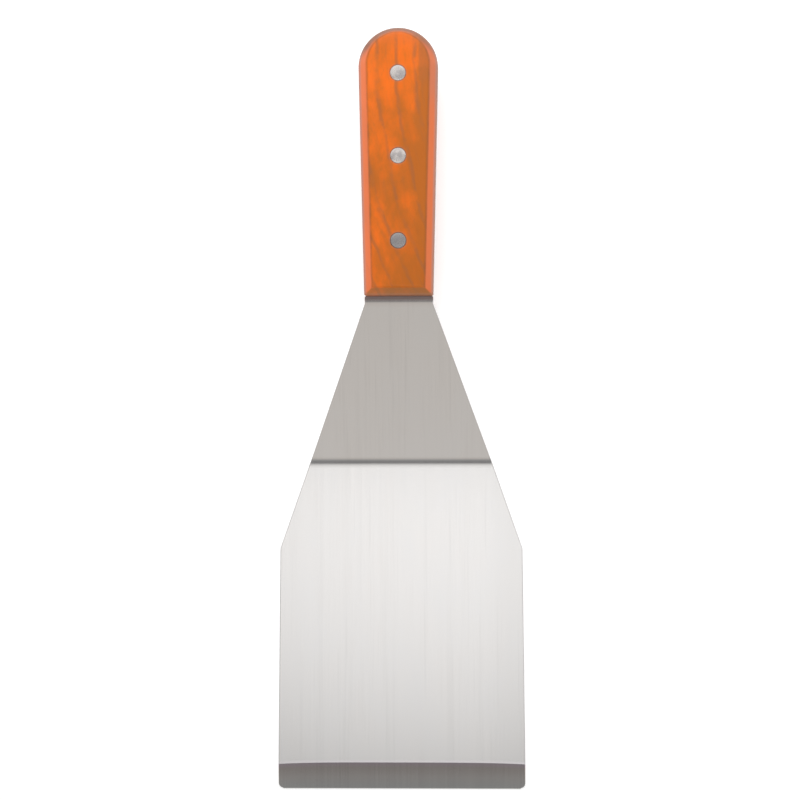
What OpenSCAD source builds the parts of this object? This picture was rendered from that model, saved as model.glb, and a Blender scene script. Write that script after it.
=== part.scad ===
// Offset griddle turner: one bent steel sheet with a ground front edge, and a wooden grip of two
// scales that three two-part rivets hold to its full tang.
// The blade lies flat on z = 0 with its front edge toward -Y, and the grip's butt points to +Y.

/* [Blade] */
// Thickness of the steel sheet
sheet_t = 2; // [1.2:0.1:3]
// Width of the blade across its front edge
front_w = 115.6; // [90:0.2:150]
// Width of the blade across its shoulders
shoulder_w = 113; // [88:0.2:150]
// Length of the blade from the front edge to the shoulders
blade_l = 112.6; // [60:0.1:180]
// Radius of the two front corners
corner_r = 2.5; // [0.5:0.5:10]
// Length of the ground bevel behind the front edge
bevel_l = 12.4; // [4:0.2:20]
// Thickness left at the front edge
edge_t = 0.4; // [0.2:0.1:1]

/* [Neck] */
// Length of the flat heel from the shoulders to the lower bend
heel_l = 40.5; // [20:0.1:60]
// Width of the sheet at the lower bend
bend_w = 84.6; // [60:0.2:86]
// How much narrower the neck is than the grip's front, on each side
neck_step = 0.1; // [0:0.05:3]
// Level distance between the two bends
neck_run = 74.4; // [50:0.1:110]
// Height of the tang's underside above the blade's
rise = 27; // [15:1:45]
// Inside radius of the lower bend
lower_bend_r = 13.5; // [2:0.5:16]
// Inside radius of the upper bend
upper_bend_r = 7.5; // [2:0.5:12]

/* [Grip] */
// Length of the grip
grip_l = 122; // [110:1:150]
// Width of the grip at its round butt
butt_w = 36.2; // [34:0.2:44]
// Width of the grip at its front
grip_front_w = 31.5; // [26:0.5:40]
// Thickness of each wooden scale
scale_t = 8; // [6:0.5:12]
// Depth of the chamfer round each scale, and its width along the sides and front
chamfer = 3.8; // [1:0.1:4.5]
// Width of the chamfer at the very end of the butt, where it runs narrower
butt_chamfer = 2.6; // [1:0.1:4.5]
// Radius of the grip's two upright front corners
grip_corner_r = 1.2; // [0.4:0.1:3]
// Radius of the same corners on a scale's outer face
face_corner_r = 0.4; // [0.2:0.1:2]

/* [Rivets] */
// Distance from the butt to the rivet nearest to it
butt_rivet_at = 21; // [12:0.5:35]
// Distance from the grip's front to the rivet nearest to it
front_rivet_at = 25; // [12:0.5:35]
// How far the middle rivet sits from halfway between the other two, towards the butt
middle_rivet_shift = 0.5; // [-3:0.1:3]
// Diameter of the rivet heads
head_d = 7.2; // [6.6:0.1:9]
// Thickness of a rivet head at its rim
head_t = 1.2; // [0.6:0.1:2]
// Height of the low dome on a rivet head
dome_h = 0.25; // [0.1:0.05:0.5]
// Outside diameter of the socket's barrel
barrel_d = 4.6; // [4:0.1:5.2]
// Diameter of the stud that is driven into the barrel
stud_d = 3; // [2:0.1:3.2]
// Depth of the barrel's bore that the stud leaves empty
stud_short = 2; // [0.5:0.5:3]
// Gap between the barrel's end and the stud's head
barrel_gap = 0.3; // [0.1:0.1:1]

/* [Fits] */
// Clearance round a rivet head in its counterbore
head_fit = 0.05; // [0.02:0.01:0.2]
// Clearance round a barrel in the scales and the tang
barrel_fit = 0.1; // [0.05:0.05:0.3]
// Clearance round the stud in the barrel
stud_fit = 0.02; // [0.01:0.01:0.05]

/* [Hidden] */
$fn = 64;

// How far a cutting shape runs past the face it cuts
over = 1;
// Flat steps along each bend and each rounded front corner
arc_steps = 8;

// The bends: the corners where the level and sloping mid-planes meet, and the arcs between them
neck_angle = atan2(rise, neck_run);
lower_reach = (lower_bend_r + sheet_t / 2) * tan(neck_angle / 2);
upper_reach = (upper_bend_r + sheet_t / 2) * tan(neck_angle / 2);

// Stations along Y, with the whole length centred on the origin
total_l = blade_l + heel_l + neck_run + upper_reach + grip_l;
front_y = -total_l / 2;
shoulder_y = front_y + blade_l;
bend_y = shoulder_y + heel_l;
upper_bend_y = bend_y + neck_run;
neck_top_y = upper_bend_y - upper_reach;
grip_y = upper_bend_y + upper_reach;
butt_y = grip_y + grip_l;
butt_r = butt_w / 2;
butt_centre_y = butt_y - butt_r;

// Level of the tang's upper face
tang_top_z = rise + sheet_t;

// Rivets: their stations, the stack that the two heads clamp, and the radius of a head's dome
butt_rivet_y = butt_y - butt_rivet_at;
front_rivet_y = grip_y + front_rivet_at;
middle_rivet_y = (butt_rivet_y + front_rivet_y) / 2 + middle_rivet_shift;
clamp_h = 2 * (scale_t - head_t) + sheet_t;
barrel_l = clamp_h - barrel_gap;
stud_l = clamp_h - stud_short;
head_floor_z = tang_top_z + scale_t - head_t;
dome_r = (pow(head_d / 2, 2) + pow(dome_h, 2)) / (2 * dome_h);
dome_angle = asin(head_d / 2 / dome_r);
neck_w = grip_front_w - 2 * neck_step;

// Points on an arc about a centre, from one angle to another
function arc(centre, r, from, to) =
    [for (i = [0:arc_steps]) let (a = from + (to - from) * i / arc_steps)
        centre + r * [cos(a), sin(a)]];

// A half outline given from front to back on the right, closed by its mirror image on the left
function mirrored(half) =
    concat(half, [for (i = [len(half) - 1:-1:0]) [-half[i][0], half[i][1]]]);

// Turns an outline drawn in Y and Z into a prism across X
module across(width) {
    rotate([90, 0, 90]) linear_extrude(height = width, center = true) children();
}

module on_each_rivet() {
    for (y = [butt_rivet_y, middle_rivet_y, front_rivet_y]) translate([0, y, 0]) children();
}

// Mirrors what lies above the tang to below it
module underneath() {
    translate([0, 0, rise + tang_top_z]) mirror([0, 0, 1]) children();
}

// Plan of the grip, drawn in from its edge: a straight taper and a round butt
module grip_outline(inset = 0, butt_inset = 0, rounding = grip_corner_r) {
    corner_centre = [grip_front_w / 2 - inset - rounding, grip_y + inset + rounding];
    polygon(mirrored(concat(
        arc(corner_centre, rounding, -90, 0),
        [[butt_r - inset, butt_centre_y]]
    )));
    translate([0, butt_centre_y + inset - butt_inset]) circle(butt_r - inset);
}

// Plan of the sheet in front of the grip, with a tongue that runs into the tang
module blade_outline() {
    corner = arc([front_w / 2 - corner_r, front_y + corner_r], corner_r, -90, 0);
    polygon(mirrored(concat(corner, [
        [shoulder_w / 2, shoulder_y],
        [bend_w / 2, bend_y],
        [neck_w / 2, neck_top_y],
        [neck_w / 2, grip_y + over]
    ])));
}

// Side view of the sheet: level blade, lower bend, sloping neck, upper bend, level tang
module sheet_profile() {
    lower = [bend_y - lower_reach, sheet_t + lower_bend_r];
    higher = [grip_y, rise - upper_bend_r];
    flat_angle = -90;
    slope_angle = flat_angle + neck_angle;
    polygon(concat(
        [[front_y - over, 0]],
        arc(lower, lower_bend_r + sheet_t, flat_angle, slope_angle),
        arc(higher, upper_bend_r, slope_angle + 180, flat_angle + 180),
        [[butt_y + over, rise], [butt_y + over, tang_top_z]],
        arc(higher, upper_bend_r + sheet_t, flat_angle + 180, slope_angle + 180),
        arc(lower, lower_bend_r, slope_angle, flat_angle),
        [[front_y - over, sheet_t]]
    ));
}

// What the grinding takes off the top of the front edge
module bevel_cut() {
    fall = (sheet_t - edge_t) / bevel_l;
    across(front_w + 2 * over) polygon([
        [front_y - over, edge_t - fall * over],
        [front_y + bevel_l + over, sheet_t + fall * over],
        [front_y - over, sheet_t + fall * over]
    ]);
}

module blade() {
    color("lightgray") difference() {
        intersection() {
            across(front_w + 2 * over) sheet_profile();
            linear_extrude(height = tang_top_z + over) union() {
                blade_outline();
                grip_outline();
            }
        }
        bevel_cut();
        on_each_rivet() translate([0, 0, rise - over])
            cylinder(h = sheet_t + 2 * over, d = barrel_d + 2 * barrel_fit);
    }
}

// One scale on z = 0, chamfered all round its upper face
module plain_scale() {
    hull() {
        linear_extrude(height = scale_t - chamfer) grip_outline();
        linear_extrude(height = scale_t) grip_outline(chamfer, butt_chamfer, face_corner_r);
    }
}

module top_scale() {
    color("darkorange") translate([0, 0, tang_top_z]) difference() {
        plain_scale();
        on_each_rivet() {
            translate([0, 0, -over]) cylinder(h = scale_t, d = barrel_d + 2 * barrel_fit);
            translate([0, 0, scale_t - head_t])
                cylinder(h = head_t + over, d = head_d + 2 * head_fit);
        }
    }
}

module bottom_scale() {
    underneath() top_scale();
}

// A flat disc with a low dome, standing on z = 0
module rivet_head() {
    rotate_extrude() polygon(concat(
        [[0, 0], [head_d / 2, 0]],
        arc([0, head_t + dome_h - dome_r], dome_r, 90 - dome_angle, 90)
    ));
}

// The upper half of a rivet: a head with a solid stud under it
module stud(y) {
    color("silver") translate([0, y, head_floor_z]) {
        rivet_head();
        translate([0, 0, -stud_l]) cylinder(h = stud_l, d = stud_d);
    }
}

// The lower half of a rivet: a head with a bored barrel, pushed up from below
module socket(y) {
    color("silver") underneath() translate([0, y, head_floor_z]) difference() {
        union() {
            rivet_head();
            translate([0, 0, -barrel_l]) cylinder(h = barrel_l, d = barrel_d);
        }
        translate([0, 0, -barrel_l - over])
            cylinder(h = barrel_l + over, d = stud_d + 2 * stud_fit);
    }
}

blade();
top_scale();
bottom_scale();
stud(butt_rivet_y);  // butt_rivet_stud
socket(butt_rivet_y);  // butt_rivet_socket
stud(middle_rivet_y);  // middle_rivet_stud
socket(middle_rivet_y);  // middle_rivet_socket
stud(front_rivet_y);  // front_rivet_stud
socket(front_rivet_y);  // front_rivet_socket
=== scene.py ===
"""Looks of the offset griddle turner: a bent steel sheet with a ground front edge, two lacquered
wooden scales on its tang, and three two-part rivets that clamp them."""

import math

import bmesh
import bpy
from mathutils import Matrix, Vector, noise


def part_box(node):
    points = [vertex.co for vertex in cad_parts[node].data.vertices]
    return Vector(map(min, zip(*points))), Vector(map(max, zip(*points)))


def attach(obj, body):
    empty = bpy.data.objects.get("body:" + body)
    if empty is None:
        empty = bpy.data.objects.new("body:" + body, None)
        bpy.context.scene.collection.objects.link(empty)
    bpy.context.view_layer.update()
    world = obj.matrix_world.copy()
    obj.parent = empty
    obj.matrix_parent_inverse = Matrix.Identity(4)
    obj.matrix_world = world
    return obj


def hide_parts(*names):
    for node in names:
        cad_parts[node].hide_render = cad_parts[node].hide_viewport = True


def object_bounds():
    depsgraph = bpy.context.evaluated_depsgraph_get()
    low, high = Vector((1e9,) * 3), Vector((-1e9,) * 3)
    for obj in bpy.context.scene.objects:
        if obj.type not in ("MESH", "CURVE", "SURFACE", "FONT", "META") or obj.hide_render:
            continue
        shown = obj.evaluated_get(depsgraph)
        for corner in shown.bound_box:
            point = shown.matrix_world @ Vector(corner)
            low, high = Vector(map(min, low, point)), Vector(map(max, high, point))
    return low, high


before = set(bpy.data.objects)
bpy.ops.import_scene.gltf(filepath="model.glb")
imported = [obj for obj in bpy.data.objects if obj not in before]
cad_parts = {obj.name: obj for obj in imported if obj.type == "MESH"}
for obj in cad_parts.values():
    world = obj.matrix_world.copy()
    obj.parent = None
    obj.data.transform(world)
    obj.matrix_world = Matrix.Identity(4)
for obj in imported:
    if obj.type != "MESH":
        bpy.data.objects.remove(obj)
cad_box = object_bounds()

MM = 0.001
blade_low, blade_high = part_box("blade")
scale_low, scale_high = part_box("top_scale")

# The sheet. Its ends, front width and levels come from the frame.
SHEET_T = 2 * MM
FRONT_Y = blade_low.y
FRONT_HALF = blade_high.x
BLADE_L = 112.6 * MM
SHOULDER_HALF = 56.5 * MM
CORNER_R = 2.5 * MM
HEEL_L = 40.5 * MM
BEND_HALF = 42.3 * MM
NECK_RUN = 74.4 * MM
NECK_HALF = 15.65 * MM
LOWER_BEND_R = 13.5 * MM
UPPER_BEND_R = 7.5 * MM
EDGE_R = 0.3 * MM

# The ground bevel: its length, how much shorter it is at its ends, and the steel left at the edge
BEVEL_L = 12.4 * MM
GRIND_DROP = 0.8 * MM
EDGE_T = 0.4 * MM

# The grip
GRIP_Y = scale_low.y
BUTT_Y = scale_high.y
BUTT_R = scale_high.x
GRIP_HALF = 15.75 * MM
TANG_TOP = scale_low.z
SCALE_T = scale_high.z - scale_low.z
CHAMFER = 3.8 * MM
BUTT_CHAMFER = 2.6 * MM
GRIP_CORNER_R = 1.2 * MM
CROWN = 0.15 * MM
HAND_WORK = 0.12 * MM

# The rivets, their clearances, and the eased edge of the wood round each head
HEAD_T = 1.2 * MM
BARREL_R = 2.3 * MM
BARREL_GAP = 0.3 * MM
STUD_R = 1.5 * MM
STUD_SHORT = 2 * MM
HEAD_FIT = 0.05 * MM
BARREL_FIT = 0.1 * MM
STUD_FIT = 0.02 * MM
EASE = 0.12 * MM

rise = TANG_TOP - SHEET_T
neck_angle = math.atan2(rise, NECK_RUN)
lower_r = LOWER_BEND_R + SHEET_T / 2
upper_r = UPPER_BEND_R + SHEET_T / 2
shoulder_y = FRONT_Y + BLADE_L
bend_y = shoulder_y + HEEL_L
upper_bend_y = bend_y + NECK_RUN
neck_top_y = 2 * upper_bend_y - GRIP_Y
lower_start = bend_y - lower_r * math.tan(neck_angle / 2)
lower_end = lower_start + lower_r * math.sin(neck_angle)
upper_start = GRIP_Y - upper_r * math.sin(neck_angle)
butt_centre_y = BUTT_Y - BUTT_R
tang_mid = TANG_TOP - SHEET_T / 2
RIVETS = {name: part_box(f"{name}_rivet_stud") for name in ("butt", "middle", "front")}


# ---------------------------------------------------------------- meshes

def blend(a, b, share):
    return a + (b - a) * share


def even(steps):
    """Shares from 0 to 1 in even steps."""
    return [i / steps for i in range(steps + 1)]


def guarded(steps, guard=0.0025):
    """Even shares with one more close to each end, which keeps a flat face's shading flat to its edge."""
    return [0, guard] + even(steps)[1:-1] + [1 - guard, 1]


def arc(centre, radius, start, end, shares):
    """Points on an arc, its angles in degrees."""
    turns = [math.radians(blend(start, end, share)) for share in shares]
    return [(centre[0] + radius * math.cos(a), centre[1] + radius * math.sin(a)) for a in turns]


def straight(a, b, shares):
    """Plan points on a straight line."""
    return [(blend(a[0], b[0], share), blend(a[1], b[1], share)) for share in shares]


def mirrored(points):
    return [(-x, y) for x, y in points]


def patch(near, far, right, shares):
    """Rows of plan points between a near line and a far line, with right and its mirror at the sides.
    The shares say how far across each column lies."""
    left = mirrored(right)
    rows = []
    for r, (_, edge_y) in enumerate(right):
        v = (edge_y - right[0][1]) / (right[-1][1] - right[0][1])
        row = []
        for c, u in enumerate(shares):
            row.append(tuple(
                blend(near[c][i], far[c][i], v) + blend(left[r][i], right[r][i], u)
                - blend(blend(near[0][i], near[-1][i], u), blend(far[0][i], far[-1][i], u), v)
                for i in (0, 1)))
        rows.append(row)
    return rows


def border(rows, columns):
    """The places round a grid's edge, counter-clockwise from its near left corner."""
    near = [(0, c) for c in range(columns)]
    right = [(r, columns - 1) for r in range(1, rows)]
    far = [(rows - 1, c) for c in range(columns - 2, -1, -1)]
    left = [(r, 0) for r in range(rows - 2, 0, -1)]
    return near + right + far + left


def outward(loop):
    """The outward direction in plan at each point of a counter-clockwise loop."""
    normals = []
    for i, here in enumerate(loop):
        before = Vector(here) - Vector(loop[i - 1])
        after = Vector(loop[(i + 1) % len(loop)]) - Vector(here)
        way = before.normalized() + after.normalized()
        normals.append(Vector((way.y, -way.x)).normalized())
    return normals


def piece_from(name, bm, finish):
    """A piece from a bmesh; given a finish, it wears it and rides on the turner's only body."""
    bmesh.ops.recalc_face_normals(bm, faces=bm.faces)
    mesh = bpy.data.meshes.new(name)
    bm.to_mesh(mesh)
    bm.free()
    piece = bpy.data.objects.new(name, mesh)
    bpy.context.scene.collection.objects.link(piece)
    if finish:
        mesh.materials.append(finish)
        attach(piece, "root")
    return piece


def soften(piece, angle=35):
    piece.data.shade_smooth()
    piece.data.set_sharp_from_angle(angle=math.radians(angle))


def closed_plate(name, top, rings, bottom, finish):
    """A closed piece from a top grid, the rings round its edge and a bottom grid."""
    bm = bmesh.new()
    upper, lower = [[[bm.verts.new(p) for p in row] for row in grid] for grid in (top, bottom)]
    for grid in (upper, lower):
        for near, far in zip(grid, grid[1:]):
            for c in range(1, len(near)):
                bm.faces.new((near[c - 1], near[c], far[c], far[c - 1]))
    places = border(len(top), len(top[0]))
    loops = [[upper[r][c] for r, c in places]]
    loops += [[bm.verts.new(p) for p in ring] for ring in rings]
    loops += [[lower[r][c] for r, c in places]]
    for inner, outer in zip(loops, loops[1:]):
        for i in range(len(inner)):
            bm.faces.new((inner[i - 1], inner[i], outer[i], outer[i - 1]))
    return piece_from(name, bm, finish)


def turned(bm, profile, centre, steps=64):
    """Adds a shape turned about an upright axis, from (radius, height) points that close on the axis."""
    rings = []
    for radius, height in profile:
        count = steps if radius > 0 else 1
        angles = [2 * math.pi * i / count for i in range(count)]
        rings.append([bm.verts.new((centre[0] + radius * math.cos(a), centre[1] + radius * math.sin(a),
                                    centre[2] + height)) for a in angles])
    for one, two in zip(rings, rings[1:]):
        for i in range(steps):
            corners = [one[i - 1] if len(one) > 1 else one[0], one[i % len(one)],
                       two[i % len(two)], two[i - 1] if len(two) > 1 else two[0]]
            bm.faces.new(list(dict.fromkeys(corners)))


def drill(piece, profile, level):
    """Takes a turned shape out of a piece at each rivet."""
    bm = bmesh.new()
    for low, high in RIVETS.values():
        turned(bm, profile, (0, (low.y + high.y) / 2, level))
    cutter = piece_from("drill", bm, None)
    cut = piece.modifiers.new("drill", "BOOLEAN")
    cut.operation = "DIFFERENCE"
    cut.solver = "EXACT"
    cut.object = cutter
    bored = bpy.data.meshes.new_from_object(piece.evaluated_get(bpy.context.evaluated_depsgraph_get()))
    piece.modifiers.clear()
    piece.data = bored
    bpy.data.objects.remove(cutter)


# ---------------------------------------------------------------- the sheet

def half_width(y):
    """Half the sheet's width in plan, from its front to the front of the grip."""
    stations = [(FRONT_Y, FRONT_HALF), (shoulder_y, SHOULDER_HALF), (bend_y, BEND_HALF),
                (neck_top_y, NECK_HALF), (GRIP_Y, NECK_HALF)]
    for (y_a, w_a), (y_b, w_b) in zip(stations, stations[1:]):
        if y <= y_b:
            return blend(w_a, w_b, (y - y_a) / (y_b - y_a))
    return NECK_HALF


def grind_y(x):
    """Where the bevel meets the flat: straight over most of the width, drawn in at both ends."""
    return FRONT_Y + BEVEL_L - GRIND_DROP * (x / FRONT_HALF) ** 4


def mid_level(y):
    """Height and slope of the sheet's middle at a station."""
    if y <= lower_start:
        return SHEET_T / 2, 0
    if y <= lower_end:
        a = math.asin((y - lower_start) / lower_r)
        return SHEET_T + LOWER_BEND_R - lower_r * math.cos(a), a
    if y <= upper_start:
        return SHEET_T / 2 + (y - bend_y) * math.tan(neck_angle), neck_angle
    if y < GRIP_Y:
        a = math.asin((GRIP_Y - y) / upper_r)
        return rise - UPPER_BEND_R + upper_r * math.cos(a), a
    return tang_mid, 0


def sheet_top(x, y):
    """Height of the upper face above the sheet's middle."""
    ground = (y - FRONT_Y) / (grind_y(x) - FRONT_Y)
    return blend(EDGE_T, SHEET_T, min(ground, 1)) - SHEET_T / 2


def sheet_point(x, y, above):
    """A point so far above the sheet's middle, measured square to it."""
    level, slope = mid_level(y)
    return (x, y - above * math.sin(slope), level + above * math.cos(slope))


def inner_half(y):
    """Half the width of the sheet's flat faces, inside its eased edges."""
    return half_width(y) - EDGE_R


def grind_line(shares):
    """Plan points where the bevel meets the flat."""
    half = inner_half(grind_y(FRONT_HALF))
    return [(x, grind_y(x)) for x in [blend(-half, half, share) for share in shares]]


def bevel_rows(shares):
    """Plan rows of the bevel, from just behind the front edge, round the corners, to the grind line."""
    front = FRONT_Y + EDGE_T * 0.35
    corner = (FRONT_HALF - CORNER_R, front + CORNER_R)
    ground_edge = grind_y(FRONT_HALF)
    right = arc(corner, CORNER_R - EDGE_R, -90, 0, even(8))
    right = [(x, y if i else front) for i, (x, y) in enumerate(right)]
    right += [(inner_half(y), y) for y in (corner[1] + 3 * MM, ground_edge - 0.12 * MM, ground_edge)]
    near = straight((-right[0][0], front), right[0], shares)
    return patch(near, grind_line(shares), right, shares)


def sheet_rows():
    """Plan grid of the sheet's flat faces, a little inside its edges. Rows lie close together beside the
    grind line, the shoulders and the bends, which keeps the shading flat up to them."""
    shares = guarded(24)
    tight = 0.25 * MM
    rows = bevel_rows(shares)

    grind = grind_line(shares)
    level_y = FRONT_Y + BEVEL_L + 10 * MM
    widening = inner_half(level_y) / grind[-1][0]
    for share in (0.012, 0.025, 0.3, 1):
        rows.append([(blend(x, x * widening, share), blend(y, level_y, share)) for x, y in grind])

    stations = [shoulder_y + away * MM for away in (-2, -0.5, 0, 0.5, 2)]
    stations += [lower_start - 3 * MM, lower_start - tight]
    stations += [lower_start + lower_r * math.sin(neck_angle * share) for share in even(12)]
    stations += [blend(lower_end + tight, upper_start - tight, share) for share in even(8)]
    stations += [GRIP_Y - upper_r * math.sin(neck_angle * (1 - share)) for share in even(10)[:-1]]
    rows += [straight((-inner_half(y), y), (inner_half(y), y), shares) for y in stations]
    return rows + patch(*grip_sides(EDGE_R, EDGE_R, shares))


def build_blade(finish):
    """The whole sheet, its edge eased by EDGE_R, or by less where it is ground thin."""
    rows = sheet_rows()
    places = border(len(rows), len(rows[0]))
    loop = [rows[r][c] for r, c in places]
    ways = outward(loop)

    def ring(turn, side):
        points = []
        for (x, y), way in zip(loop, ways):
            radius = min(EDGE_R, 0.3 * (sheet_top(x, y) + SHEET_T / 2))
            out = radius * math.sin(math.radians(turn))
            drop = radius * (1 - math.cos(math.radians(turn)))
            above = sheet_top(x, y) - drop if side > 0 else drop - SHEET_T / 2
            px, py, pz = sheet_point(x, y, above)
            points.append((px + way.x * out, py + way.y * out, pz))
        return points

    top = [[sheet_point(x, y, sheet_top(x, y)) for x, y in row] for row in rows]
    bottom = [[sheet_point(x, y, -SHEET_T / 2) for x, y in row] for row in rows]
    rings = [ring(turn, 1) for turn in (30, 60, 90)] + [ring(turn, -1) for turn in (90, 60, 30)]
    blade = closed_plate("steel_blade", top, rings, bottom, finish)
    hole = BARREL_R + BARREL_FIT
    drill(blade, [(0, -SHEET_T), (hole, -SHEET_T), (hole, SHEET_T), (0, SHEET_T)], tang_mid)
    soften(blade)
    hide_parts("blade")


# ---------------------------------------------------------------- the grip

def grip_sides(inset, butt_inset, shares, rounding=GRIP_CORNER_R, far_turn=12):
    """The near line, far line, right side and shares of the grip's outline, drawn in from its edge.
    The far line takes up the butt's end, by far_turn degrees on each side of its middle."""
    half = GRIP_HALF - inset
    near_y = GRIP_Y + inset
    radius = BUTT_R - inset
    centre = (0, butt_centre_y + inset - butt_inset)
    corner = arc((half - rounding, near_y + rounding), rounding, -90, 0, even(5))
    side = straight(corner[-1], (radius, butt_centre_y), even(24))[1:]
    butt = arc(centre, radius, 0, 90 - far_turn, even(20))
    far = arc(centre, radius, 90 + far_turn, 90 - far_turn, shares)
    near = straight((-corner[0][0], near_y), (corner[0][0], near_y), shares)
    return near, far, corner + side + butt, shares


def loop_round(near, far, right):
    """The whole outline as one loop, counter-clockwise from its near left corner."""
    return near + right[1:] + far[::-1][1:] + mirrored(right[::-1])[1:-1]


def bore_scale(scale, side):
    """Drills the barrels' holes and the heads' counterbores, whose mouths are a little eased."""
    _, high = RIVETS["butt"]
    head = high.x + HEAD_FIT
    bore = BARREL_R + BARREL_FIT
    seat = SCALE_T - HEAD_T
    past = 0.18 * MM
    mouth = head + EASE + past
    profile = [(0, -MM), (bore, -MM), (bore, seat), (head, seat), (head, SCALE_T - EASE),
               (mouth, SCALE_T + past), (mouth, SCALE_T + MM), (0, SCALE_T + MM)]
    drill(scale, [(radius, side * level) for radius, level in profile], tang_mid + side * SHEET_T / 2)


def build_scale(name, node, finish, side):
    """One scale, above the tang (side 1) or below it (side -1): chamfered all round, its corners eased by
    sanding, its face very slightly crowned. The steps are its section in mm, as (inset, level) from its
    seat on the tang to its face."""
    steps = [(0.18, 0), (0, 0.18), (0, 1.6), (0, 3.3), (0.05, 3.75), (0.24, 4.25), (0.6, 4.72),
             (1.5, 5.68), (2.4, 6.6), (3.1, 7.3), (3.5, 7.68), (3.85, 7.88), (4.3, 7.97)]
    steps = [(inset * MM, level * MM) for inset, level in steps]

    def place(x, y, inset, level):
        crown = CROWN * (x / BUTT_R) ** 2
        hand = HAND_WORK * abs(noise.noise(Vector((x * 30, y * 30, 7.0)))) * min(inset / CHAMFER, 1)
        height = TANG_TOP + level - (crown + hand) * level / SCALE_T
        return (x, y, tang_mid + side * (height - tang_mid))

    def lines(inset):
        rounding = blend(GRIP_CORNER_R, 0.5 * MM, min(inset / CHAMFER, 1))
        return grip_sides(inset, inset * BUTT_CHAMFER / CHAMFER, even(16), rounding)

    top_inset = 5 * MM
    top = [[place(x, y, top_inset, SCALE_T) for x, y in row] for row in patch(*lines(top_inset))]
    rings = [[place(x, y, inset, level) for x, y in loop_round(*lines(inset)[:3])]
             for inset, level in reversed(steps)]
    base_inset = 0.6 * MM
    bottom = [[place(x, y, base_inset, 0) for x, y in row] for row in patch(*lines(base_inset))]
    scale = closed_plate(name, top, rings, bottom, finish)
    bore_scale(scale, side)
    soften(scale)
    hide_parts(node)


def head_profile(head_r):
    """Half section of a rivet head from its crown to its underside: nearly flat, with a rolled rim."""
    rim = 0.3 * MM
    crown = 0.1 * MM
    flat = head_r - rim
    top = [(flat * share, HEAD_T + crown * (1 - share ** 2)) for share in even(5)]
    rolled = arc((flat, HEAD_T - rim), rim, 90, 0, [turn / 90 for turn in (22, 45, 67, 90)])
    return top + rolled + [(head_r, 0)]


def build_rivet(name, finish):
    """Both halves of a rivet: a stud that is driven into a bored barrel, each under its own head."""
    low, high = RIVETS[name]
    y = (low.y + high.y) / 2
    floor = SCALE_T - HEAD_T
    clamp = 2 * floor + SHEET_T
    stud_l = clamp - STUD_SHORT
    barrel_l = clamp - BARREL_GAP
    bore = STUD_R + STUD_FIT
    head = head_profile(high.x)
    bm = bmesh.new()
    turned(bm, head + [(STUD_R, 0), (STUD_R, -stud_l), (0, -stud_l)], (0, y, TANG_TOP + floor))
    stud = piece_from(f"{name}_rivet_stud_metal", bm, finish)
    bm = bmesh.new()
    socket = head + [(BARREL_R, 0), (BARREL_R, -barrel_l), (bore, -barrel_l), (bore, 0), (0, 0)]
    turned(bm, [(radius, -level) for radius, level in socket], (0, y, rise - floor))
    barrel = piece_from(f"{name}_rivet_socket_metal", bm, finish)
    for piece, node in ((stud, "stud"), (barrel, "socket")):
        soften(piece)
        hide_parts(f"{name}_rivet_{node}")


# ---------------------------------------------------------------- finishes

class Value:
    """One output of a node; arithmetic on it adds Math nodes."""

    def __init__(self, nodes, socket):
        self.nodes = nodes
        self.socket = socket

    def maths(self, operation, *others):
        inputs = dict(enumerate((self, *others)))
        return self.nodes.add("ShaderNodeMath", {"operation": operation}, inputs)

    def __add__(self, other):
        return self.maths("ADD", other)

    def __sub__(self, other):
        return self.maths("SUBTRACT", other)

    def __rsub__(self, other):
        return self * -1 + other

    def __mul__(self, other):
        return self.maths("MULTIPLY", other)

    def __truediv__(self, other):
        return self.maths("DIVIDE", other)

    def __abs__(self):
        return self.maths("ABSOLUTE")

    def fraction(self):
        return self.maths("FRACT")

    def ramp(self, low, high):
        """0 below low, 1 above high, and a smooth rise between."""
        return self.nodes.add("ShaderNodeMapRange", {"interpolation_type": "SMOOTHSTEP"},
                              {"Value": self, "From Min": low, "From Max": high})

    def rise(self, low, high):
        """0 at low, 1 at high and a straight climb between, whichever of the two is the greater."""
        return self.nodes.add("ShaderNodeMapRange", {}, {"Value": self, "From Min": low, "From Max": high})

    def band(self, *edges):
        """0, then a smooth rise to 1 between the first two edges and a fall back between the last two."""
        return self.ramp(*edges[:2]) * (1 - self.ramp(*edges[2:]))

    def shades(self, stops):
        """A colour for each value, from (value, colour) stops."""
        return self.nodes.add("ShaderNodeValToRGB", {"stops": stops}, {"Fac": self})


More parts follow.
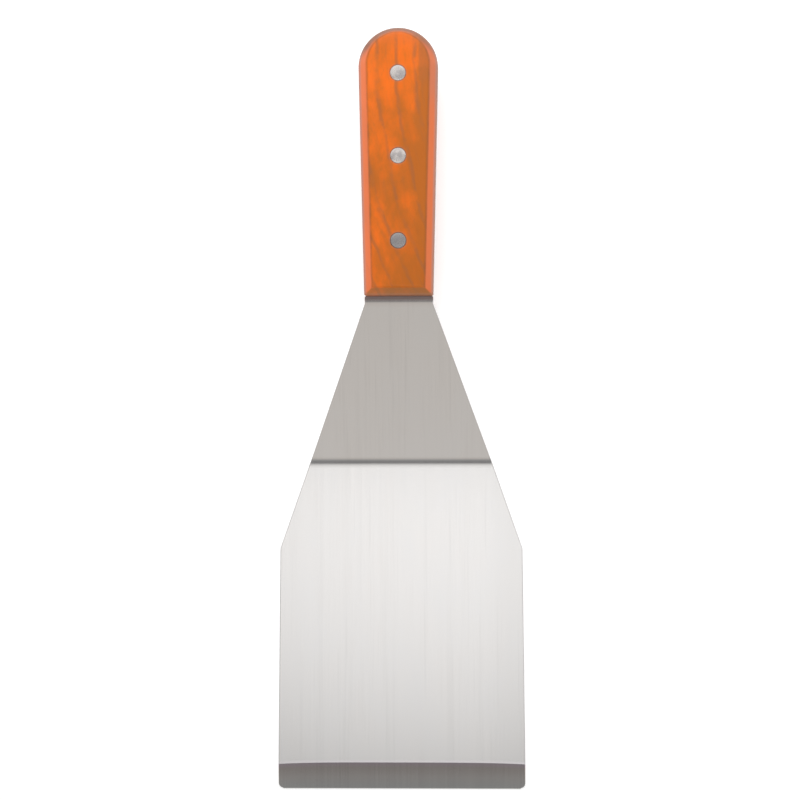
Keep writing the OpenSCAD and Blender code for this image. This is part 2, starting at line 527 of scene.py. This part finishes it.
class Nodes:
    """A node tree, and the one way to add nodes to it."""

    def __init__(self, tree):
        self.tree = tree

    def add(self, kind, settings, sockets, output=0):
        node = self.tree.nodes.new(kind)
        for name, setting in settings.items():
            if name == "stops":
                fill_ramp(node.color_ramp, setting)
            else:
                setattr(node, name, setting)
        for name, value in sockets.items():
            if isinstance(value, Value):
                self.tree.links.new(value.socket, node.inputs[name])
            else:
                node.inputs[name].default_value = value
        return Value(self, node.outputs[output])

    def mix(self, share, one, two):
        """A colour between two."""
        return self.add("ShaderNodeMix", {"data_type": "RGBA"}, {0: share, 6: one, 7: two}, output=2)

    def darkened(self, colour, share):
        """A colour times a value, which counts as 1 above 1."""
        return self.add("ShaderNodeMix", {"data_type": "RGBA", "blend_type": "MULTIPLY"},
                        {0: 1.0, 6: colour, 7: share.shades([(0, grey(0)), (1, grey(1))])}, output=2)

    def stretched(self, place, scale):
        return self.add("ShaderNodeVectorMath", {"operation": "MULTIPLY"}, {0: place, 1: scale})

    def shifted(self, place, shift):
        return self.add("ShaderNodeVectorMath", {"operation": "ADD"}, {0: place, 1: shift})

    def noise(self, place, scale, detail=2.0, roughness=0.5):
        """Noise between 0 and 1 at a vector place, scaled by three numbers per metre."""
        return self.add("ShaderNodeTexNoise", {},
                        {"Vector": self.stretched(place, scale), "Scale": 1.0, "Detail": detail,
                         "Roughness": roughness})

    def place(self):
        return self.add("ShaderNodeTexCoord", {}, {}, output="Object")

    def parts(self, vector):
        split = self.add("ShaderNodeSeparateXYZ", {}, {0: vector})
        outputs = split.socket.node.outputs
        return [Value(self, outputs[i]) for i in range(3)]

    def bump(self, height, strength, distance):
        return self.add("ShaderNodeBump", {}, {"Height": height, "Strength": strength, "Distance": distance})


def fill_ramp(ramp, stops):
    while len(ramp.elements) < len(stops):
        ramp.elements.new(1)
    for element, (position, colour) in zip(ramp.elements, stops):
        element.position = position
        element.color = colour


def grey(level):
    return (level, level, level, 1)


def new_finish(name, constants):
    """A material with a Principled surface, its constant sockets set; gives its nodes and surface too."""
    material = bpy.data.materials.new(name)
    material.use_nodes = True
    surface = material.node_tree.nodes["Principled BSDF"]
    for socket, value in constants.items():
        surface.inputs[socket].default_value = value
    return material, Nodes(material.node_tree), surface


def feed(nodes, surface, **links):
    """Links values to the surface: base_color, roughness, coat_weight or normal."""
    for name, value in links.items():
        nodes.tree.links.new(value.socket, surface.inputs[name.replace("_", " ").title()])


# The wood's colours, brightest first; the salmon is a painted sheen, the ochre a painted reflection, and ash
# and umber also paint shade
ORANGE = (0.95, 0.175, 0.009, 1)
SHEEN_SALMON = (1.0, 0.208, 0.056, 1)
DUSKY = (0.62, 0.21, 0.11, 1)
REFLECTED_OCHRE = (0.62, 0.28, 0.06, 1)
BROWN = (0.50, 0.134, 0.013, 1)
RUSSET = (0.45, 0.15, 0.06, 1)
STREAK_BROWN = (0.36, 0.122, 0.038, 1)
ASH = (0.42, 0.26, 0.22, 1)
DARK = (0.26, 0.095, 0.035, 1)
UMBER = (0.20, 0.105, 0.07, 1)


class Wood:
    """Orange-stained close-grained wood: its values at each place, and its colour laid on in steps."""

    def __init__(self, nodes, seed):
        self.nodes = nodes
        place = nodes.place()
        self.x, self.y, self.z = nodes.parts(place)
        self.facing = nodes.parts(nodes.add("ShaderNodeTexCoord", {}, {}, output="Normal"))
        self.raw = nodes.shifted(place, (seed, seed, seed))
        self.quick = nodes.noise(self.raw, (210, 110, 210), 2.0) - 0.5
        self.mottle = nodes.noise(self.raw, (330, 170, 330), 3.0, 0.6)
        self.lacquer = nodes.noise(self.raw, (220, 120, 220), 2.0)
        self.across = self.leaning() + seed
        self.grain = nodes.add("ShaderNodeCombineXYZ", {}, {0: self.across, 1: self.y, 2: self.z})
        self.pores = nodes.noise(self.grain, (2400, 300, 2400), 2.0, 0.6)
        self.fibres = nodes.noise(self.grain, (900, 70, 900), 3.0, 0.6)
        self.level = abs(self.z - tang_mid) - SHEET_T / 2
        self.above = self.level - (SCALE_T - CHAMFER)
        self.chamfer = (self.above.ramp(-0.2 * MM, 0.4 * MM)
                        * (1 - self.level.ramp(SCALE_T - 0.6 * MM, SCALE_T - 0.1 * MM)))
        self.to_butt = self.facing[1].ramp(0.08, 0.45)
        self.to_front = self.facing[1].rise(-0.3, -0.6)

    def leaning(self):
        """Where a place lies across the grain, which leans more and more towards the grip's front."""
        slow = self.nodes.noise(self.raw, (26, 17, 26), 1.0) - 0.5
        lean = self.y.rise(145 * MM, 97 * MM) * (9.6 * MM) + self.y.rise(97 * MM, GRIP_Y) * (17.5 * MM)
        waver = slow * (5 * MM) + self.quick * (2.8 * MM)
        return self.x - lean + waver + abs(self.z - tang_mid) * 0.3

    def streaks(self, spacing, shift, width, lengths, gaps):
        """Soft lines along the grain, each broken into lengths."""
        line = abs(((self.across + shift) / spacing).fraction() - 0.5) * spacing
        broken = self.nodes.noise(self.grain, lengths, 3.0, 0.6).ramp(*gaps)
        return (1 - line.ramp(0.1 * MM, width)) * broken

    def brownness(self):
        """How brown the stain is: patchy, browner on the right and towards the grip's front."""
        x, y = self.x, self.y
        blotch = self.nodes.noise(self.raw, (130, 75, 130), 2.0, 0.5)
        patches = self.nodes.noise(self.grain, (120, 38, 60), 2.0, 0.55)
        right = (x + self.quick * (3 * MM)).ramp(6 * MM, 11.5 * MM) * y.ramp(60 * MM, 110 * MM)
        left_butt = (x * -1).ramp(9 * MM, 11.5 * MM) * y.ramp(130 * MM, 145 * MM)
        bright_butt = y.ramp(125 * MM, 168 * MM)
        tilt = x * (y.ramp(128 * MM, 142 * MM) * 5 - y.ramp(150 * MM, 160 * MM) * 18
                    - y.ramp(78 * MM, 90 * MM) * 8 + 11)
        drift = y.rise(BUTT_Y, GRIP_Y).shades([
            (0.03, grey(0.56)), (0.19, grey(0.54)), (0.29, grey(0.57)), (0.37, grey(0.50)),
            (0.476, grey(0.56)), (0.58, grey(0.40)), (0.66, grey(0.54)), (0.763, grey(0.60)),
            (0.815, grey(0.55)), (0.89, grey(0.48))])
        total = (patches * 0.5 + self.mottle * 0.45 + blotch * 0.4 + 0.495 + right * 0.3 + tilt
                 - bright_butt * 0.18 - left_butt * 0.13 - drift)
        return total.ramp(0.25, 0.85) * 0.95

    def faces(self):
        """The stain with its grain lines, pores and fibres."""
        mix = self.nodes.mix
        main = self.streaks(8.9 * MM, 11.6 * MM, 1.5 * MM, (110, 85, 60), (0.32, 0.60))
        minor = self.streaks(4.1 * MM, 0.8 * MM, 1.0 * MM, (190, 70, 60), (0.46, 0.70))
        at_right = self.x.ramp(8.8 * MM, 10.2 * MM) * self.y.ramp(145 * MM, 156 * MM)
        colour = mix(self.brownness(), ORANGE, BROWN)
        colour = mix(main * 0.6, colour, STREAK_BROWN)
        colour = mix(minor * 0.25, colour, STREAK_BROWN)
        colour = mix(at_right * 0.4, colour, STREAK_BROWN)
        colour = mix(self.pores.ramp(0.62, 0.80) * 0.24, colour, DARK)
        return self.nodes.darkened(colour, self.fibres * 0.16 + self.mottle * 0.26 + 0.80)

    def chamfers(self, colour):
        """The chamfers: a painted sheen along the sides, a yellower painted reflection at the front, duller
        at the butt.
        """
        mix = self.nodes.mix
        sideways = self.chamfer * (1 - abs(self.facing[1]).ramp(0.3, 0.6))
        right_butt = self.x.ramp(10 * MM, 12 * MM) * self.y.band(137 * MM, 150 * MM, 157 * MM, 166 * MM)
        # Painted sheen: the lacquer's pale reflection on the side chamfers, laid into their colour
        colour = mix(sideways * 0.75, colour, SHEEN_SALMON)
        # Painted reflection: the lacquer's reflection on the front chamfer, laid into its colour
        colour = mix(self.chamfer * self.to_front * 0.3, colour, REFLECTED_OCHRE)
        colour = mix(sideways * self.y.ramp(125 * MM, 145 * MM) * 0.14, colour, DUSKY)
        return mix(self.chamfer * right_butt * 0.42, colour, DUSKY)

    def edges(self, colour):
        """A broken dark line where the face meets the side chamfers, painted shade at the chamfers' lower
        edge and round the butt, and darker stain on the front end grain.
        """
        mix = self.nodes.mix
        inner = (self.level.ramp(SCALE_T - 0.9 * MM, SCALE_T - 0.2 * MM)
                 * abs(self.facing[0]).ramp(0.03, 0.25))
        # Painted shade: a dark line along the chamfers' lower edge, the grip's shaded outline, weaker at the
        # front
        rim = self.above.band(-0.9 * MM, -0.1 * MM, 0.2 * MM, 1.5 * MM)
        # Painted shade on the butt's chamfer, which faces away from the lamp, lighter on the right
        butt_shade = self.above.band(-0.9 * MM, -0.1 * MM, 1.4 * MM, 4.4 * MM) * self.to_butt
        less_shade_on_right = 1 - self.x.ramp(4 * MM, 12 * MM) * 0.4
        colour = mix(inner * self.mottle * 0.8, colour, DARK)
        colour = mix(rim * (0.6 - self.to_front * 0.35), colour, ASH)
        colour = mix(butt_shade * less_shade_on_right * 0.85, colour, UMBER)
        # Painted shade over the butt's last few millimetres, face and chamfer
        colour = mix(self.y.ramp(164 * MM, 173 * MM) * 0.22, colour, RUSSET)
        colour = mix(self.facing[1].rise(-0.78, -0.97) * 0.45, colour, UMBER)
        # More painted shade on the butt's chamfer
        return mix(self.chamfer * self.y.ramp(170 * MM, 174.5 * MM) * 0.15, colour, UMBER)

    def rings(self, colour):
        """A soft darker ring in the wood round each rivet's head."""
        for low, high in RIVETS.values():
            along = self.y - (low.y + high.y) / 2
            away = abs((self.x * self.x + along * along).maths("SQRT") - high.x)
            colour = self.nodes.mix((1 - away.ramp(0.1 * MM, 1.1 * MM)) * 0.2, colour, ASH)
        return colour


def lacquered_wood(name, seed):
    """The wood under its lacquer, which lies thicker on the chamfers."""
    material, nodes, surface = new_finish(name, {
        "Coat Roughness": 0.16, "Coat IOR": 1.5, "Specular IOR Level": 0.1})
    wood = Wood(nodes, seed)
    colour = wood.rings(wood.edges(wood.chamfers(wood.faces())))
    coat = wood.chamfer * (0.55 - wood.to_butt * 0.4) + wood.lacquer * 0.1 + 0.3
    relief = wood.pores * 0.25 + wood.lacquer * 0.75
    feed(nodes, surface, base_color=colour, roughness=wood.fibres * 0.15 + 0.38, coat_weight=coat,
         normal=nodes.bump(relief, 0.12, 0.4 * MM))
    return material


def brushed_steel(name):
    """Stainless sheet brushed along its length, with a heat tint where it was ground. Painted into its
    colour: shade at its sides, shade in the crease of the lower bend, a highlight along the grind line, and
    shade with a brown reflection of the wood where it runs under the grip."""
    material, nodes, surface = new_finish(name, {"Metallic": 1.0})
    place = nodes.place()
    x, y, z = nodes.parts(place)
    lines = nodes.noise(place, (1500, 14, 40), 3.0, 0.65)
    bands = nodes.noise(place, (210, 3, 20), 3.0, 0.6)
    cloud = nodes.noise(place, (60, 30, 60), 3.0, 0.6)
    scratches = nodes.noise(place, (800, 12, 40), 1.0).ramp(0.66, 0.74)
    colour = nodes.mix(cloud, (0.80, 0.775, 0.755, 1), (0.795, 0.785, 0.78, 1))
    colour = nodes.darkened(colour, lines * 0.12 + bands * 0.13 + cloud * 0.06 - scratches * 0.03 + 0.845)

    on_top = z.ramp(1.2 * MM, 1.8 * MM)
    # Painted shade: darker reflections at the blade's sides, more on the right than the left
    sides = x.ramp(34 * MM, 55 * MM) * 0.055 + (x * -1).ramp(34 * MM, 55 * MM) * 0.02
    colour = nodes.mix(sides * on_top, colour, grey(0.1))
    # Painted shade in the crease where the lower bend starts, widening its dark reflection
    bend_shade_y = lower_start + 0.85 * MM
    bend_shade = y.band(bend_shade_y - 1.85 * MM, bend_shade_y, bend_shade_y, bend_shade_y + MM)
    colour = nodes.mix(bend_shade * on_top * 0.22, colour, (0.09, 0.07, 0.04, 1))

    aside = x * x / FRONT_HALF ** 2
    behind = y + aside * aside * GRIND_DROP - (FRONT_Y + BEVEL_L)
    # Painted highlight: a pale line just behind the grind line
    grind_highlight = behind.band(-0.2 * MM, 0, 0.2 * MM, 1.8 * MM) * on_top
    colour = nodes.mix(grind_highlight * 0.5, colour, (0.94, 0.87, 0.91, 1))
    on_bevel = (1 - behind.ramp(-0.2 * MM, 0)) * z.ramp(0, EDGE_T * 0.5)
    heat = behind.rise(-BEVEL_L, 0).shades([
        (0, (0.77, 0.78, 0.765, 1)), (0.45, (0.79, 0.75, 0.718, 1)), (0.8, (0.70, 0.635, 0.60, 1)),
        (1, (0.73, 0.615, 0.675, 1))])
    colour = nodes.mix(on_bevel, colour, nodes.darkened(heat, lines * 0.14 + bands * 0.14 + 0.82))

    # Painted shade where the tang runs under the grip, with a faint brown painted reflection of the wood in
    # front of it
    grip_reflection_tint = y.ramp(GRIP_Y - 5.5 * MM, GRIP_Y - 3.2 * MM)
    darkening = (y + cloud * (0.6 * MM)).ramp(GRIP_Y - 2.6 * MM, GRIP_Y - 0.8 * MM)
    colour = nodes.mix(grip_reflection_tint * 0.09, colour, (0.50, 0.28, 0.20, 1))
    colour = nodes.mix(darkening * 0.88, colour, (0.215, 0.150, 0.14, 1))
    rough = lines * 0.05 + cloud * 0.03 + darkening * 0.25 + 0.10
    feed(nodes, surface, base_color=colour, roughness=rough, normal=nodes.bump(lines, 0.05, 0.2 * MM))
    return material


def worn_rivet(name):
    """Nickel-silver rivet heads, polished and then scratched and dulled by use, with darker rolled rims; the
    front head is darker still, as painted shade."""
    material, nodes, surface = new_finish(name, {"Metallic": 1.0})
    place = nodes.place()
    _, y, z = nodes.parts(place)
    scratches = nodes.noise(place, (900, 2600, 900), 3.0, 0.7)
    dull = nodes.noise(place, (300, 300, 300), 2.0)
    colour = nodes.mix(dull.ramp(0.38, 0.62), (0.80, 0.745, 0.71, 1), (0.59, 0.55, 0.54, 1))
    _, front_high = RIVETS["front"]
    # Painted shade: the front head made much darker than the other two
    front_shade = 1 - y.ramp(front_high.y, front_high.y + 10 * MM)
    colour = nodes.mix(front_shade * 0.8, colour, (0.32, 0.305, 0.31, 1))
    # The heads' rolled rims, below the wood's face, are darker
    level = abs(z - tang_mid) - SHEET_T / 2 - SCALE_T
    darkening = 1 - level.ramp(-0.3 * MM, 0.01 * MM)
    colour = nodes.mix(darkening * 0.7, colour, (0.32, 0.20, 0.15, 1))
    rough = dull * 0.14 + scratches * 0.05 + darkening * 0.2 + 0.14
    feed(nodes, surface, base_color=colour, roughness=rough, normal=nodes.bump(scratches, 0.08, 0.2 * MM))
    return material


# ---------------------------------------------------------------- studio

def bare_material(name):
    """A material without its usual surface; gives its nodes and the socket for its surface too."""
    material = bpy.data.materials.new(name)
    material.use_nodes = True
    tree = material.node_tree
    tree.nodes.remove(tree.nodes["Principled BSDF"])
    return material, Nodes(tree), tree.nodes["Material Output"].inputs["Surface"]


def lean_ramp(stops):
    """Ramp stops from (degrees of lean, colour): -90 is the horizon behind the butt, 90 the front's."""
    return [((angle + 90) / 180, colour) for angle, colour in stops]


def seen_directly(nodes):
    """1 for camera, glossy and transmission rays."""
    camera = nodes.add("ShaderNodeLightPath", {}, {}, output="Is Camera Ray")
    outputs = camera.socket.node.outputs
    glossy = Value(nodes, outputs["Is Glossy Ray"])
    through = Value(nodes, outputs["Is Transmission Ray"])
    return camera, glossy, (camera + glossy + through).maths("MINIMUM", 1.0)


def build_world():
    """White where it is seen, even light on matt surfaces, and a dark-banded sky for metal to mirror."""
    world = bpy.data.worlds.new("studio")
    bpy.context.scene.world = world
    world.use_nodes = True
    nodes = Nodes(world.node_tree)
    x, y, z = nodes.parts(nodes.add("ShaderNodeTexCoord", {}, {}, output="Generated"))
    forward = (y * -1).maths("ARCTAN2", z) / math.pi + 0.5
    sideways = abs(x.maths("ARCTAN2", z)) * (180 / math.pi)
    sky = forward.shades(lean_ramp([
        (-90, grey(0.8)), (-40, grey(1.0)), (-14, grey(0.95)), (-7.5, grey(0.84)), (-5.3, grey(0.78)),
        (-2.5, grey(0.45)), (0, grey(0.34)), (8, grey(0.235)), (14, grey(0.215)), (20, grey(0.23)),
        (24.3, grey(0.26)), (28, grey(0.34)), (33, (0.525, 0.505, 0.48, 1)),
        (37.7, (0.60, 0.57, 0.54, 1)), (41.2, (0.625, 0.605, 0.585, 1)), (60, (0.66, 0.62, 0.6, 1)),
        (90, grey(0.5))]))
    sides = nodes.mix(sideways.ramp(35, 75), sky, grey(0.8))
    camera, glossy, _ = seen_directly(nodes)
    seen = nodes.mix(glossy, grey(0.50), sides)
    seen = nodes.mix(camera, seen, grey(1.0))
    background = world.node_tree.nodes["Background"]
    nodes.tree.links.new(seen.socket, background.inputs["Color"])


def build_floor():
    """A white floor that still takes the turner's soft shadow; it isn't seen from below."""
    bm = bmesh.new()
    bmesh.ops.create_grid(bm, x_segments=1, y_segments=1, size=4)
    floor = piece_from("floor", bm, None)
    floor.location.z = cad_box[0].z - 0.2 * MM
    material, nodes, surface = bare_material("white_floor")
    _, _, seen = seen_directly(nodes)
    matt = nodes.add("ShaderNodeBsdfDiffuse", {}, {"Color": grey(0.8)})
    glow = nodes.add("ShaderNodeEmission", {}, {"Color": grey(1.0), "Strength": seen * 0.49})
    clear = nodes.add("ShaderNodeBsdfTransparent", {}, {})
    lit = nodes.add("ShaderNodeAddShader", {}, {0: matt, 1: glow})
    below = nodes.add("ShaderNodeNewGeometry", {}, {}, output="Backfacing")
    both = nodes.add("ShaderNodeMixShader", {}, {0: below, 1: lit, 2: clear})
    nodes.tree.links.new(both.socket, surface)
    floor.data.materials.append(material)


def build_softbox():
    """The glowing panel that the blade mirrors, brightest towards the grip. Only reflections see it."""
    panel_z = 2.4
    half_x = 0.9
    low_y, high_y = -0.617, -0.015
    bm = bmesh.new()
    corners = [(-half_x, low_y), (half_x, low_y), (half_x, high_y), (-half_x, high_y)]
    bm.faces.new([bm.verts.new((x, y, panel_z)) for x, y in corners])
    panel = piece_from("softbox", bm, None)
    material, nodes, surface = bare_material("softbox_glow")
    x, y, _ = nodes.parts(nodes.place())
    along = (y - low_y) / (high_y - low_y)
    level = along.shades([(0, grey(0.5)), (0.123, grey(0.645)), (0.287, grey(0.85)), (0.461, grey(1.0)),
                          (0.666, grey(1.1)), (1, grey(1.21))])
    fall = 0.13 - along.ramp(0.2, 0.5) * 0.06
    aside = 1.025 - (1 - x.ramp(-0.36, -0.06)) * fall
    glow = nodes.add("ShaderNodeEmission", {}, {"Color": level, "Strength": aside})
    nodes.tree.links.new(glow.socket, surface)
    panel.data.materials.append(material)
    panel.visible_camera = False
    panel.visible_diffuse = False
    panel.visible_transmission = False
    panel.visible_shadow = False


def build_lamp():
    """A soft lamp past the butt, so that the light falls off along the grip."""
    data = bpy.data.lights.new("key", "AREA")
    data.shape = "DISK"
    data.size = 0.4
    data.energy = 2.4
    lamp = bpy.data.objects.new("key", data)
    lamp.location = (-0.02, 0.42, 0.55)
    aim = Vector((0, 0.1, 0.03)) - lamp.location
    lamp.rotation_euler = aim.to_track_quat("-Z", "Y").to_euler()
    lamp.visible_glossy = False
    bpy.context.scene.collection.objects.link(lamp)


def build_camera():
    """Straight above the turner, a little to its right, and turned back to its middle. Half of what it
    sees across the worktop is half_seen."""
    height = 1.2
    aside = 0.038
    shift = -0.0005
    along = 0.00608
    roll = math.radians(0.12)
    half_seen = 0.1869159
    data = bpy.data.cameras.new("camera")
    data.sensor_width = 36
    data.lens = data.sensor_width / 2 * height / half_seen
    camera = bpy.data.objects.new("camera", data)
    camera.location = (aside + shift, along, height)
    camera.rotation_euler = (0, math.atan2(aside, height), -roll)
    bpy.context.scene.collection.objects.link(camera)
    bpy.context.scene.camera = camera


steel = brushed_steel("brushed_steel")
rivet_metal = worn_rivet("worn_rivet_metal")
build_blade(steel)
build_scale("wooden_top_scale", "top_scale", lacquered_wood("lacquered_wood_top", 0.0), 1)
build_scale("wooden_bottom_scale", "bottom_scale", lacquered_wood("lacquered_wood_bottom", 0.0137), -1)
for rivet in RIVETS:
    build_rivet(rivet, rivet_metal)
build_world()
build_floor()
build_softbox()
build_lamp()
build_camera()
bpy.context.scene.view_settings.view_transform = "Standard"
